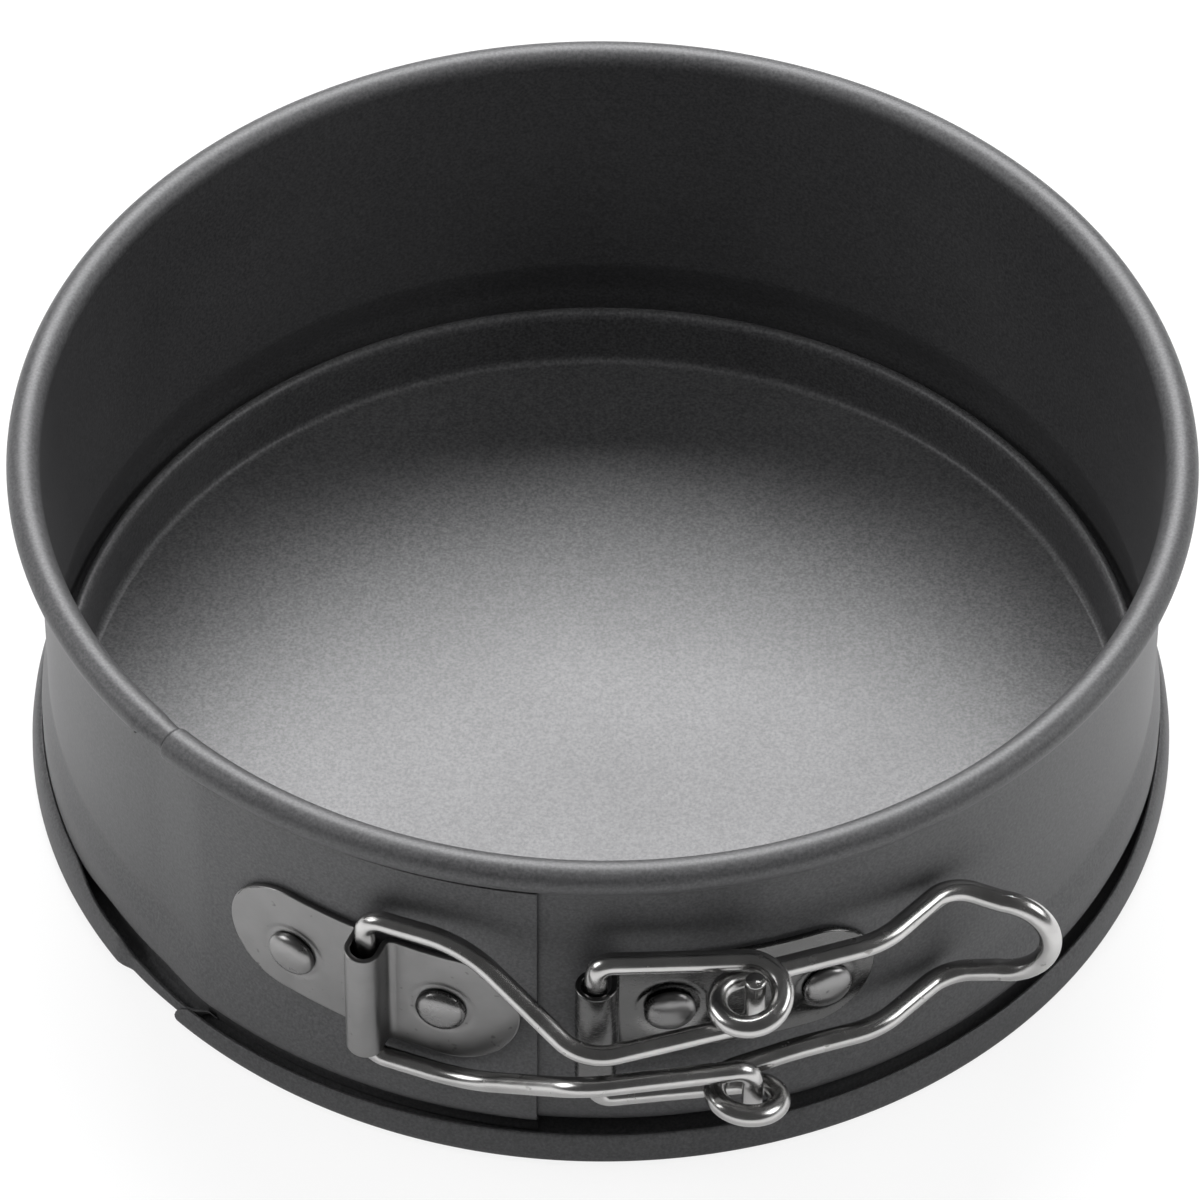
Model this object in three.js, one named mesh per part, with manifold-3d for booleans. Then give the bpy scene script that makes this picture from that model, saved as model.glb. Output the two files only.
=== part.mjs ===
// Springform cake pan: a band of thin sheet whose two ends overlap, a loose base plate, and a wire latch.
// Millimetres, +Z up. The origin is the centre of the base plate's flat underside; the latch faces -Y.
import * as THREE from "three";
import { mergeVertices } from "three/addons/utils/BufferGeometryUtils.js";
import Module from "manifold-3d";

// ---- Driving dimensions ----
const SHEET = 0.5; // thickness of the band and of the base plate
const WALL_IN = 57; // inner radius of the band's wall
const CURL_R = 1.5; // rim curl, to the middle of its sheet
const CURL_Z = 42.4; // height of the curl's centre
const CURL_END = -115; // angle at which the curl's free edge stops, in degrees
const BEAD_TOP = 14; // the wall starts to flare into the bead here
const BEAD_UPPER = [58.12, 8.6]; // the bead's upright part ends here, [radius, height] of the sheet's middle
const BEAD_LOWER = [58.12, 7.5]; // and here
const BEAD_UNDER = [57.45, 5.6]; // middle of the turn under the bead
const NECK = [56.65, 4.9]; // narrowest point below the bead
const LIP = [58.3, 0.5]; // lowest point of the lip gutter
const LIP_OUT = [59.4, 1.7]; // widest point of the lip gutter
const LIP_EDGE = [58.95, 4.15]; // free edge of the lip gutter

const BACK_SPLIT = 90; // azimuth at the back, where the strip bends as the latch opens
const SPLIT_GAP = 0.3; // half of the gap there, in degrees
const INNER_END = 223.6; // azimuth of the inner end of the strip
const OUTER_END = 264; // azimuth of the outer end of the strip
const JOGGLE = 4.2; // the outer end steps outwards over this many degrees
const JOGGLE_GAP = 1.2; // and is fully out this many degrees before the inner end
const LAYER_GAP = 0.15; // gap between the two layers of the overlap
const OUTER_TOP = 39.6; // the outer layer's upper edge lies under the inner layer's curl
const OUTER_BOTTOM = 4.6; // and its lower edge above the inner layer's lip

const FLOOR_R = 54.9; // flat floor of the base plate
const STEP_FOOT = [55.7, 1.1]; // the step from the floor up to the flange, [radius, height]
const STEP_HEAD = [55.8, 6.65];
const FLANGE_R = 56.6; // middle of the flange that sits in the bead
const FLANGE_TOP = 7.25;
const FLANGE_FOLD = 0.3; // the flange's rounded edge
const FLANGE_END = 6;

const LATCH_Z = 22.8; // middle height of the lever and of the right bracket
const LINK_Z = 23.1; // middle height of the link
const STRAP = 0.6; // sheet of the two brackets
const STRAP_H = 13.2; // height of the right bracket
const STRAP_BLANK = 18; // both straps are cut from a strip this high

const PLATE_GAP = 0.1; // gap between a bracket and the band
const SEAT_GAP = 0.05; // gap between a bracket and its rivet heads
const HUMP_AZ = 247.6; // azimuth of the left bracket's hump
const HUMP_RISE = 2.3; // centre of the hump's round top above the middle of its plate
const HUMP_PLAY = 0.2; // room round the link's rod in the hump
const HUMP_FOOT = 0.5; // bend from the plate into the hump
const LEFT_ENDS = [231.6, 262.4]; // azimuths of the left bracket's two round ends
const LEFT_LOBE = { height: 0.35, radius: 7 }; // its round ends: height above the latch's middle, and radius
const RIGHT_LOBE = { height: -1.6, radius: 7.2 };
const BARREL_AZ = 269.7; // azimuth of the barrel that the right bracket is rolled into
const BARREL_R = 61; // its centre's distance from the pan's axis
const BARREL_PLAY = 0.35; // room round the lever's rod in the barrel
const BARREL_FOOT = 0.6; // bend from the plate into the barrel
const BARREL_TURN = 240; // how far round the barrel is rolled, in degrees
const RIGHT_END = 297.8; // azimuth of the right bracket's round end

const LINK_WIRE = 1.05; // wire radii
const LEVER_WIRE = 1.12;
const LINK_ROD = [-22.9, -55.6]; // axis of the link in the left hump, [x, y]
const LEVER_ROD = [-0.33, -61.2]; // axis of the lever in the right barrel
const EYE = [14.6, -63.1]; // axis of the lever's two coils
const EYE_R = 3.2; // coil, to the middle of its wire
const COIL_ENTER = 5; // heading of the wire where it enters a coil, in degrees from +X
const COIL_LEAVE = 22 - 360; // and where it leaves, after almost a full turn
const COIL_TOP = 8.54; // height where it enters; heights on the wires are from the wire's own middle
const COIL_DROP = 2.42; // drop over the turn
const COIL_LEAN = 0.19; // slope of the coil's plane, lower at the front
const PINS = [15.1, -63.2]; // axis of the link's two pins, inside the coils
const PIN_TOP = 9.75;
const LEG_H = 9.7; // the legs leave the brackets this far above and below the middle height
// Upper half of each wire as [x, y, height, length cut off the corner by its bend].
const LINK_CORNERS = [
  [...PINS, PIN_TOP, 0],
  [...PINS, 3.5, 1.9],
  [-1.5, -67.2, 2, 3.2],
  [-13.2, -59.3, LEG_H + 0.4, 4],
  [...LINK_ROD, LEG_H + 0.3, 2],
  [...LINK_ROD, 0, 0],
];
const LEVER_START = [
  [...LEVER_ROD, 1.6, 0],
  [...LEVER_ROD, LEG_H + 0.2, 1.7],
];
const LEVER_BENDS = [
  [19.6, -57.75, 6.35, 2],
  [27.6, -55, 6.35, 2.5],
  [34.5, -47.5, 6.4, 2.5],
];
const LOOP = [39.6, -48.4]; // centre of the handle's round end
const LOOP_R = 5.1;
const LOOP_DIRECTION = [0.986, -0.166]; // the way the handle points

const RIVET_HEAD = 2.6;
const RIVET_DOME = 1.35;
const RIVET_SHANK = 1.3;
const RIVET_PLAY = 0.15;
const LEFT_RIVETS = [[239, 22.1], [254.7, 21.1]]; // [azimuth, height]
const RIGHT_RIVETS = [[276.8, 22.4], [292.6, 21.5]];

const ROUND = 48; // facets of the large turned shapes
const CURVE = 3; // facets of one bend in a section
const WIRE_SIDES = 8;
const LINK_STEPS = 84; // lengths of wire between sections
const LEVER_STEPS = 136;
const rad = THREE.MathUtils.degToRad;

// ---- Solids ----
const wasm = await Module();
wasm.setup();

function solid(geometry) {
  const bare = geometry.clone();
  bare.deleteAttribute("normal");
  bare.deleteAttribute("uv");
  const merged = mergeVertices(bare, 1e-4);
  return new wasm.Manifold(
    new wasm.Mesh({
      numProp: 3,
      vertProperties: merged.attributes.position.array,
      triVerts: new Uint32Array(merged.index.array),
    }),
  );
}

function geometryOf(manifold) {
  const mesh = manifold.getMesh();
  const geometry = new THREE.BufferGeometry();
  geometry.setAttribute("position", new THREE.BufferAttribute(mesh.vertProperties, mesh.numProp));
  geometry.setIndex(new THREE.BufferAttribute(mesh.triVerts, 1));
  geometry.computeVertexNormals();
  return geometry;
}

// The closed outline of a sheet whose middle follows a line: inner and outer are the distances from that line
// to the sheet's two faces, measured to the right of the line's direction.
function sheetOutline(line, inner, outer) {
  const side = (i) => {
    const before = line[Math.max(i - 1, 0)];
    const after = line[Math.min(i + 1, line.length - 1)];
    const a = new THREE.Vector2().subVectors(line[i], before);
    const b = new THREE.Vector2().subVectors(after, line[i]);
    if (a.lengthSq() === 0) a.copy(b);
    if (b.lengthSq() === 0) b.copy(a);
    a.normalize();
    b.normalize();
    const bisector = new THREE.Vector2().addVectors(a, b).normalize();
    const mitre = 1 / bisector.dot(a);
    return new THREE.Vector2(bisector.y, -bisector.x).multiplyScalar(mitre);
  };
  const face = (distance) => line.map((p, i) => p.clone().addScaledVector(side(i), distance));
  return [...face(outer), ...face(inner).reverse()];
}

// A turned ring from a closed outline of [radius, height] points.
function turned(outline) {
  const geometry = new THREE.LatheGeometry([...outline, outline[0]], ROUND);
  return geometry.rotateX(Math.PI / 2);
}

// An upright wedge between two azimuths, wide and tall enough to hold the whole band.
function wedge(from, to) {
  const reach = 90;
  const shape = new THREE.Shape();
  shape.moveTo(0, 0);
  shape.lineTo(reach * Math.cos(rad(from)), reach * Math.sin(rad(from)));
  shape.absarc(0, 0, reach, rad(from), rad(to), false);
  const geometry = new THREE.ExtrudeGeometry(shape, { depth: reach, bevelEnabled: false, curveSegments: 12 });
  return solid(geometry.translate(0, 0, -reach / 4));
}

// Turns a geometry made about +Z so that +Z points outwards at an azimuth and a height.
function outwards(geometry, azimuth, height) {
  const a = rad(azimuth);
  const radial = new THREE.Vector3(Math.cos(a), Math.sin(a), 0);
  const along = new THREE.Vector3(-Math.sin(a), Math.cos(a), 0);
  const frame = new THREE.Matrix4().makeBasis(along, new THREE.Vector3(0, 0, 1), radial);
  return geometry.applyMatrix4(frame.setPosition(0, 0, height));
}

// ---- Band ----
// Middle line of the band's section, from the curl's free edge over the rim and down to the lip's free edge.
function bandLine() {
  const wall = WALL_IN + SHEET / 2;
  const path = new THREE.Path();
  path.absarc(wall + CURL_R, CURL_Z, CURL_R, rad(CURL_END), Math.PI, false);
  path.lineTo(wall, BEAD_TOP);
  path.bezierCurveTo(wall, BEAD_TOP - 1.2, BEAD_UPPER[0], BEAD_UPPER[1] + 1.2, ...BEAD_UPPER);
  path.lineTo(...BEAD_LOWER);
  path.quadraticCurveTo(BEAD_LOWER[0], BEAD_UNDER[1] + 0.65, ...BEAD_UNDER);
  path.lineTo(...NECK);
  path.quadraticCurveTo(NECK[0], LIP[1], ...LIP);
  path.quadraticCurveTo(LIP_OUT[0], LIP[1], ...LIP_OUT);
  path.quadraticCurveTo(LIP_OUT[0], LIP_EDGE[1] - 0.4, ...LIP_EDGE);
  return path.getPoints(CURVE);
}

// The part of the section that the outer layer follows in the overlap: no curl and no lip.
function overlapLine() {
  const wall = WALL_IN + SHEET / 2;
  const shoulder = bandLine().filter((p) => p.y < BEAD_TOP + 0.01 && p.y > BEAD_UNDER[1] - 0.01);
  const foot = new THREE.Vector2(BEAD_UNDER[0] - 0.1, OUTER_BOTTOM);
  return [new THREE.Vector2(wall, OUTER_TOP), ...shoulder, foot];
}

const half = SHEET / 2;
const offset = SHEET + LAYER_GAP;
const joggleStart = INNER_END - JOGGLE_GAP - JOGGLE;

// A drill that goes through the band and a bracket.
function rivetHole(azimuth, height) {
  const radius = RIVET_SHANK + RIVET_PLAY;
  const length = 12;
  const geometry = new THREE.CylinderGeometry(radius, radius, length, 16);
  geometry.rotateX(Math.PI / 2).translate(0, 0, WALL_IN + length / 3);
  return solid(outwards(geometry, azimuth, height));
}

function drilled(body, rivets) {
  return rivets.reduce((rest, place) => rest.subtract(rivetHole(...place)), body);
}

function bandRight() {
  const ring = solid(turned(sheetOutline(bandLine(), -half, half)));
  const strip = ring.intersect(wedge(INNER_END - 360, BACK_SPLIT - SPLIT_GAP));
  return geometryOf(drilled(strip, RIGHT_RIVETS));
}

function bandLeft() {
  const ring = solid(turned(sheetOutline(bandLine(), -half, half)));
  const strip = ring.intersect(wedge(BACK_SPLIT + SPLIT_GAP, joggleStart + JOGGLE));
  const step = solid(turned(sheetOutline(overlapLine(), -half - offset, half)));
  const joggle = step.intersect(wedge(joggleStart, joggleStart + JOGGLE));
  const layer = solid(turned(sheetOutline(overlapLine(), -half - offset, half - offset)));
  const outer = layer.intersect(wedge(joggleStart + JOGGLE / 2, OUTER_END));
  return geometryOf(drilled(strip.add(joggle).add(outer), LEFT_RIVETS));
}

// ---- Base plate ----
function basePlate() {
  const line = new THREE.Path();
  line.moveTo(0, half);
  line.lineTo(FLOOR_R, half);
  line.quadraticCurveTo(STEP_FOOT[0] - 0.1, half, ...STEP_FOOT);
  line.lineTo(...STEP_HEAD);
  line.quadraticCurveTo(STEP_HEAD[0] + 0.05, FLANGE_TOP, FLANGE_R - FLANGE_FOLD - 0.05, FLANGE_TOP);
  line.quadraticCurveTo(FLANGE_R - 0.05, FLANGE_TOP, FLANGE_R, FLANGE_TOP - FLANGE_FOLD);
  line.lineTo(FLANGE_R, FLANGE_END);
  const outline = sheetOutline(line.getPoints(CURVE), -half, half);
  return new THREE.LatheGeometry(outline, ROUND).rotateX(Math.PI / 2);
}

// ---- Brackets ----
// A strap's middle line is drawn looking down at the hump: across is to the right, out is the distance from
// the pan's axis. The strap is then turned to its azimuth.
function strap(line, azimuth) {
  const outline = sheetOutline(line, -STRAP / 2, STRAP / 2);
  const shape = new THREE.Shape(outline.map((p) => new THREE.Vector2(p.x, -p.y)));
  const geometry = new THREE.ExtrudeGeometry(shape, { depth: STRAP_BLANK, bevelEnabled: false });
  geometry.translate(0, 0, LATCH_Z - STRAP_BLANK / 2);
  return solid(geometry.rotateZ(rad(azimuth - 270)));
}

function arcLine(radius, from, to, count) {
  return Array.from({ length: count + 1 }, (_, i) => {
    const a = rad(from + ((to - from) * i) / count);
    return new THREE.Vector2(radius * Math.sin(a), radius * Math.cos(a));
  });
}

// The round top of a hump or barrel, from its right side to its left.
function humpTop(width, centre, from, to) {
  const path = new THREE.Path();
  path.absarc(0, centre, width, rad(from), rad(to), false);
  return path.getPoints(6);
}

// A block along the outward direction whose outline has a round lobe at each end; it trims a bracket.
// A lobe is its end's distance from the middle, the height of its centre and its radius.
function roundEnds(left, right, azimuth) {
  const depth = 20;
  const shape = new THREE.Shape();
  shape.absarc(right.end - right.radius, right.height, right.radius, -Math.PI / 2, Math.PI / 2, false);
  shape.absarc(left.radius - left.end, left.height, left.radius, Math.PI / 2, (3 * Math.PI) / 2, false);
  const geometry = new THREE.ExtrudeGeometry(shape, { depth, bevelEnabled: false, curveSegments: 14 });
  return solid(outwards(geometry.translate(0, 0, WALL_IN - 0.4 * depth), azimuth, LATCH_Z));
}

function bracketLeft() {
  const plate = WALL_IN + 2 * SHEET + LAYER_GAP + PLATE_GAP + STRAP / 2;
  const width = LINK_WIRE + HUMP_PLAY + STRAP / 2;
  const centre = plate + HUMP_RISE;
  const [left, right] = LEFT_ENDS.map((a) => a - HUMP_AZ);
  const foot = THREE.MathUtils.radToDeg((width + HUMP_FOOT) / plate);
  const line = [
    ...arcLine(plate, right + 1, foot, 3),
    new THREE.Vector2(width, plate + HUMP_FOOT),
    ...humpTop(width, centre, 0, 180),
    new THREE.Vector2(-width, plate + HUMP_FOOT),
    ...arcLine(plate, -foot, left - 1, 3),
  ];
  const reach = plate + STRAP / 2;
  const leftLobe = { end: reach * Math.sin(rad(-left)), ...LEFT_LOBE };
  const rightLobe = { end: reach * Math.sin(rad(right)), ...RIGHT_LOBE };
  const ends = roundEnds(leftLobe, rightLobe, HUMP_AZ);
  return geometryOf(drilled(strap(line, HUMP_AZ).intersect(ends), LEFT_RIVETS));
}

function bracketRight() {
  const plate = WALL_IN + SHEET + PLATE_GAP + STRAP / 2;
  const width = LEVER_WIRE + BARREL_PLAY + STRAP / 2;
  const right = RIGHT_END - BARREL_AZ;
  const foot = THREE.MathUtils.radToDeg((width + BARREL_FOOT) / plate);
  const line = [
    ...arcLine(plate, right + 1, foot, 5),
    new THREE.Vector2(width, plate + BARREL_FOOT),
    ...humpTop(width, BARREL_R, 0, BARREL_TURN),
  ];
  const middle = (BARREL_AZ + RIGHT_END) / 2;
  const reach = (plate + STRAP / 2) * Math.sin(rad(right / 2));
  const rightLobe = { end: reach, height: 0, radius: STRAP_H / 2 };
  const ends = roundEnds({ ...rightLobe, end: reach + STRAP_H }, rightLobe, middle);
  return geometryOf(drilled(strap(line, BARREL_AZ).intersect(ends), RIGHT_RIVETS));
}

// ---- Rivets ----
function rivet([azimuth, height], seat, tip) {
  const profile = new THREE.Path();
  profile.moveTo(0, tip);
  profile.lineTo(RIVET_SHANK, tip);
  profile.lineTo(RIVET_SHANK, seat);
  profile.lineTo(RIVET_HEAD, seat);
  profile.lineTo(RIVET_HEAD, seat + 0.2);
  profile.quadraticCurveTo(RIVET_HEAD - 0.5, seat + RIVET_DOME, 0, seat + RIVET_DOME);
  const geometry = new THREE.LatheGeometry(profile.getPoints(4), 12).rotateX(Math.PI / 2);
  return outwards(geometry, azimuth, height);
}

// ---- Wires ----
// Straight runs between corner points, each inner corner rounded to a bend that starts `cut` before it.
function bends(corners) {
  const path = new THREE.CurvePath();
  let from = corners[0].at;
  corners.slice(1, -1).forEach((corner, i) => {
    const back = new THREE.Vector3().subVectors(corners[i].at, corner.at).setLength(corner.cut);
    const ahead = new THREE.Vector3().subVectors(corners[i + 2].at, corner.at).setLength(corner.cut);
    const start = back.add(corner.at);
    const end = ahead.add(corner.at);
    path.add(new THREE.LineCurve3(from, start));
    path.add(new THREE.QuadraticBezierCurve3(start, corner.at, end));
    from = end;
  });
  path.add(new THREE.LineCurve3(from, corners.at(-1).at));
  return path;
}

const corner = ([x, y, height, cut]) => ({ at: new THREE.Vector3(x, y, height), cut });

// A round wire along the upper half of a symmetric path and its mirror image below the middle height.
function mirroredWire(halfPoints, radius, steps) {
  const lower = halfPoints.slice(0, -1).reverse();
  const points = [...halfPoints, ...lower.map((p) => new THREE.Vector3(p.x, p.y, -p.z))];
  const section = new THREE.Shape();
  for (let i = 0; i < WIRE_SIDES; i++) {
    const a = (2 * Math.PI * i) / WIRE_SIDES;
    const p = [radius * Math.cos(a), radius * Math.sin(a)];
    if (i === 0) section.moveTo(...p);
    else section.lineTo(...p);
  }
  const extrudePath = new THREE.CatmullRomCurve3(points, false, "centripetal");
  return new THREE.ExtrudeGeometry(section, { steps, extrudePath, bevelEnabled: false });
}

// Pin, leg, bow round the right barrel, leg and rod in the left hump.
function linkWire() {
  const points = bends(LINK_CORNERS.map(corner)).getSpacedPoints(48);
  return mirroredWire(points, LINK_WIRE, LINK_STEPS).translate(0, 0, LINK_Z);
}

// One turn of wire about the eye's axis, wound clockwise seen from above.
class Coil extends THREE.Curve {
  getPoint(t, target = new THREE.Vector3()) {
    const heading = rad(COIL_ENTER + (COIL_LEAVE - COIL_ENTER) * t);
    const x = -EYE_R * Math.sin(heading);
    const y = EYE_R * Math.cos(heading);
    return target.set(EYE[0] + x, EYE[1] + y, COIL_TOP - COIL_DROP * t + COIL_LEAN * y);
  }
}

// Rod in the barrel, leg, coil, leg round the bracket's end, and half of the handle loop.
function leverWire() {
  const coil = new Coil();
  const coilEnd = (t) => corner([...coil.getPoint(t), 0]);
  const before = bends([...LEVER_START.map(corner), coilEnd(0)]);
  const loopTop = new THREE.Vector3(...LOOP, LOOP_R);
  const after = bends([coilEnd(1), ...LEVER_BENDS.map(corner), { at: loopTop, cut: 0 }]);
  const along = new THREE.Vector3(...LOOP_DIRECTION, 0);
  const tip = new THREE.Vector3(...LOOP, 0).addScaledVector(along, LOOP_R);
  const bow = 0.5523 * LOOP_R; // control distance that makes a cubic curve follow a quarter circle
  const quarter = new THREE.CubicBezierCurve3(
    loopTop,
    loopTop.clone().addScaledVector(along, bow),
    new THREE.Vector3(tip.x, tip.y, bow),
    tip,
  );
  const path = new THREE.CurvePath();
  for (const curve of [...before.curves, coil, ...after.curves, quarter]) path.add(curve);
  return mirroredWire(path.getSpacedPoints(76), LEVER_WIRE, LEVER_STEPS).translate(0, 0, LATCH_Z);
}

// ---- Assembly ----
const coating = { color: 0x4a4a4c, roughness: 0.45, metalness: 0.4 };
const plated = { color: 0xd2d0cc, roughness: 0.2, metalness: 1 };
const pan = new THREE.Group();

function piece(name, geometry, look) {
  const mesh = new THREE.Mesh(geometry, new THREE.MeshStandardMaterial(look));
  mesh.name = name;
  pan.add(mesh);
}

const leftSeat = WALL_IN + 2 * SHEET + LAYER_GAP + PLATE_GAP + STRAP + SEAT_GAP;
const rightSeat = WALL_IN + SHEET + PLATE_GAP + STRAP + SEAT_GAP;
piece("band_right", bandRight(), coating);
piece("band_left", bandLeft(), coating);
piece("base_plate", basePlate(), coating);
piece("bracket_left", bracketLeft(), plated);
piece("bracket_right", bracketRight(), plated);
piece("link_wire", linkWire(), plated);
piece("lever_wire", leverWire(), plated);
LEFT_RIVETS.forEach((place, i) => {
  piece("rivet_left_" + (i + 1), rivet(place, leftSeat, WALL_IN + offset + SEAT_GAP), plated);
});
RIGHT_RIVETS.forEach((place, i) => {
  piece("rivet_right_" + (i + 1), rivet(place, rightSeat, WALL_IN + SEAT_GAP), plated);
});

export default pan;
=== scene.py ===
"""Springform cake pan: the looks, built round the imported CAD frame.

Metres, +Z up, latch on the -Y side. Lengths below are in millimetres and turned into metres by MM.
"""

import math

import bmesh
import bpy
from mathutils import Matrix, Vector, noise


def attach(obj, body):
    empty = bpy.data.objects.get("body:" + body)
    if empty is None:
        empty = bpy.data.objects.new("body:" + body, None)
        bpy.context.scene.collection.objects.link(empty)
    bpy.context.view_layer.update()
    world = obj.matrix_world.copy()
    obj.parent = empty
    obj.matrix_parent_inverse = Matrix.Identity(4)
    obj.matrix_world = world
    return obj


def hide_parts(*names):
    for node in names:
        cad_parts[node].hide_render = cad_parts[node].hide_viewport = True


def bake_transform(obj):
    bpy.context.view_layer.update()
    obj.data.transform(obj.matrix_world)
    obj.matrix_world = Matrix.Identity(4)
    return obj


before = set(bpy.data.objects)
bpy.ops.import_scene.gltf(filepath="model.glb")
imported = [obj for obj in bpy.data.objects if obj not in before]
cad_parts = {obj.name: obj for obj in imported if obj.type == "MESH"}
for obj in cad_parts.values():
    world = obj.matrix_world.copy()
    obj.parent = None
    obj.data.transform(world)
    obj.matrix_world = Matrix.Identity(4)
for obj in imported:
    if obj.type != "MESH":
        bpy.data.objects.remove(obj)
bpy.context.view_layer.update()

MM = 0.001

# ---- Band, millimetres and degrees ----
SHEET = 0.5
WALL = 57.25  # middle of the wall's sheet
CURL_R = 1.46
CURL_Z = 42.4
CURL_EDGE = -115.0
CURL_CUT = -12.0  # the curl's edge where its lower half is cut away, at the left end
CURL_DRAW = 0.25  # how much narrower the curl gets towards the joint
CURL_FLARE = 0.09  # how much wider the right end's curl is at its very end
CURL_FLARE_LENGTH = 9.0  # degrees
CURL_NESTED = 0.85  # radius of the curl's end that slips inside the other end's curl
BEAD_TOP = 14.0
BEAD_UPPER = (58.12, 8.6)  # the bead is upright between these two points
BEAD_LOWER = (58.12, 7.5)
BEAD_UNDER = (57.45, 5.6)
NECK = (56.65, 4.9)
BEAD_SAG = (0.6, 1.5, 1.3, 1.0)  # how much lower these four lie where the lip is pressed against the bead
LAYER_STEP = 0.65  # the outer layer lies this much further out
FOLD_HEIGHT = 0.05
FOLD_WIDTH = 1.5  # degrees
LIP = ((58.3, 0.5), (59.38, 1.7), (58.95, 4.45))  # bottom, widest point, free edge
LIP_RAISED = ((58.3, 0.5), (59.38, 1.7), (58.78, 4.75))  # under the handle
LIP_CLOSED = ((58.3, 0.5), (59.4, 1.7), (58.37, 5.3))  # where it is pressed against the bead
LIP_LOW = ((58.3, 0.5), (59.4, 1.7), (59.1, 3.55))  # near the right end, where it is bent open
LIP_NESTED = ((58.15, 1.2), (58.62, 1.75), (58.5, 2.6))  # cut low and tucked in at the left end
OUTER_TOP = 39.0  # upper edge of the outer layer

# ---- Azimuths along the strip, in degrees from +X, from its inner (right) end to its outer (left) end ----
INNER_END = -136.4
INNER_WALL_END = -131.6  # the wall is cut back behind the lip and the curl
LOW_LIP_END = -85.0
LIP_RISES = (-84.0, -50.0)
LIP_CLOSES = (-26.0, -6.0)
LIP_OPENS = (202.5, 212.0)  # it comes away from the bead between these azimuths
LIP_PRESSED_IN = (213.8, 216.4)  # the left end's lip goes most of the way in here
LIP_TUCKED_IN = (216.0, 224.0)  # and the rest of the way here
STEP = (219.5, 228.3)  # the strip steps out to the outer layer
CURL_CUT_AT = (219.9, 220.7)
CURL_DRAWN_IN = (220.5, 224.0)  # the left end's curl gets narrower
CURL_START = 224.6  # the right end's curl starts a little after its lip
CURL_NESTS = (CURL_START - 0.3, CURL_START)  # the left end's curl shrinks to fit inside it
JOINT = CURL_START - 0.05  # from here on the left end's curl has no wall
CURL_TONGUE_END = 226.4  # the left end's curl and lip reach this far inside the right end's
LIP_TONGUE_CUT = (224.3, 227.0)
LIP_TONGUE_END = 228.0
FOLD = 226.9  # a faint upright ridge in the outer layer
OUTER_END = 264.0

# ---- Rows across the strip ----
CURL_ROWS = 22
WALL_ROWS = 16
FLARE_ROWS = 4  # in each of the flare's three stretches
UPRIGHT_ROWS = 2
UNDER_ROWS = 8
NECK_ROWS = 3
GUTTER_ROWS = 7
LIP_ROWS = 6
EDGE_ROWS = 5
FIRST_WALL_ROW = CURL_ROWS + 1
LAST_WALL_ROW = FIRST_WALL_ROW + WALL_ROWS + 3 * FLARE_ROWS + UPRIGHT_ROWS + UNDER_ROWS + NECK_ROWS

# ---- Base plate ----
FLOOR_R = 54.9
FLANGE_R = 56.6
FLANGE_TOP = 7.25
FLANGE_END = 6.0

# ---- Latch ----
LATCH_Z = 22.8
LINK_Z = 23.1
STRAP = 0.6  # thickness of both brackets
STRAP_ROWS = 60  # rows across a bracket
LOBE_COLUMNS = 30  # columns in a bracket's round end
HUMP_AZ = 247.6
LEFT_ENDS = (231.6, 262.4)
BARREL_AZ = 269.7
RIGHT_END = 297.8
LEFT_PLATE = 58.55  # middle radius of the left bracket's plate
RIGHT_PLATE = 57.9
LINK_WIRE = 1.05
LEVER_WIRE = 1.12
LINK_ROD = (-22.9, -55.6)
LEVER_ROD = (-0.33, -61.2)
EYE = (14.6, -63.1)
EYE_R = 3.2
PINS = (15.1, -63.2)
LEG_H = 9.7
PIN_TOP = 9.75
RIVET_HEAD = 2.6
RIVET_DOME = 1.3
RIVET_SHANK = 1.3
HOLE_R = 1.45
LEFT_RIVETS = ((239.0, 22.1), (254.7, 21.1))
RIGHT_RIVETS = ((276.8, 22.4), (292.6, 21.5))
DISHED = 276.8  # the bracket is dished round this rivet
DISH = (2.9, 4.2)  # the dish is flat up to the first radius and ends at the second
DISH_DEPTH = 0.22
RING_DEPTH = 0.07  # the faint ring that the rivet tool leaves
RING_WIDTH = 0.3
RING_GAP = 0.55  # from the head's edge to the ring's middle
HUMP_PLAY = 0.2  # room round the wire in the hump
HUMP_RISE = 2.3  # from the plate's middle to the hump's centre
BARREL_PLAY = 0.35
BARREL_R = 61.0


def smoothstep(x, low=0.0, high=1.0):
    t = min(max((x - low) / (high - low), 0.0), 1.0)
    return t * t * (3 - 2 * t)


def mix(a, b, t):
    return a + (b - a) * t


def polar(azimuth, radius, height):
    a = math.radians(azimuth)
    return Vector((radius * math.cos(a), radius * math.sin(a), height))


# ---- Curves ----
def bezier(a, b, c, count):
    """Points of a quadratic curve after a, up to and with c."""
    a, b, c = Vector(a), Vector(b), Vector(c)
    points = []
    for i in range(1, count + 1):
        t = i / count
        points.append(a * (1 - t) ** 2 + b * (2 * t * (1 - t)) + c * t**2)
    return points


def filleted(corners, step=0.25):
    """A line through (point, cut) corners. Each inner corner is a round bend that starts cut before it."""
    points = [Vector(corners[0][0])]
    for (before, _), (at, cut), (after, _) in zip(corners, corners[1:], corners[2:]):
        at = Vector(at)
        back = (Vector(before) - at).normalized()
        ahead = (Vector(after) - at).normalized()
        half = back.angle(ahead) / 2
        radius = cut * math.tan(half)
        centre = at + (back + ahead).normalized() * (cut / math.cos(half))
        start = at + back * cut - centre
        end = at + ahead * cut - centre
        turn = start.angle(end)
        count = max(4, math.ceil(radius * turn / step))
        for i in range(count + 1):
            t = i / count
            share = (math.sin((1 - t) * turn), math.sin(t * turn))
            points.append(centre + (start * share[0] + end * share[1]) / math.sin(turn))
    points.append(Vector(corners[-1][0]))
    return points


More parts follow.
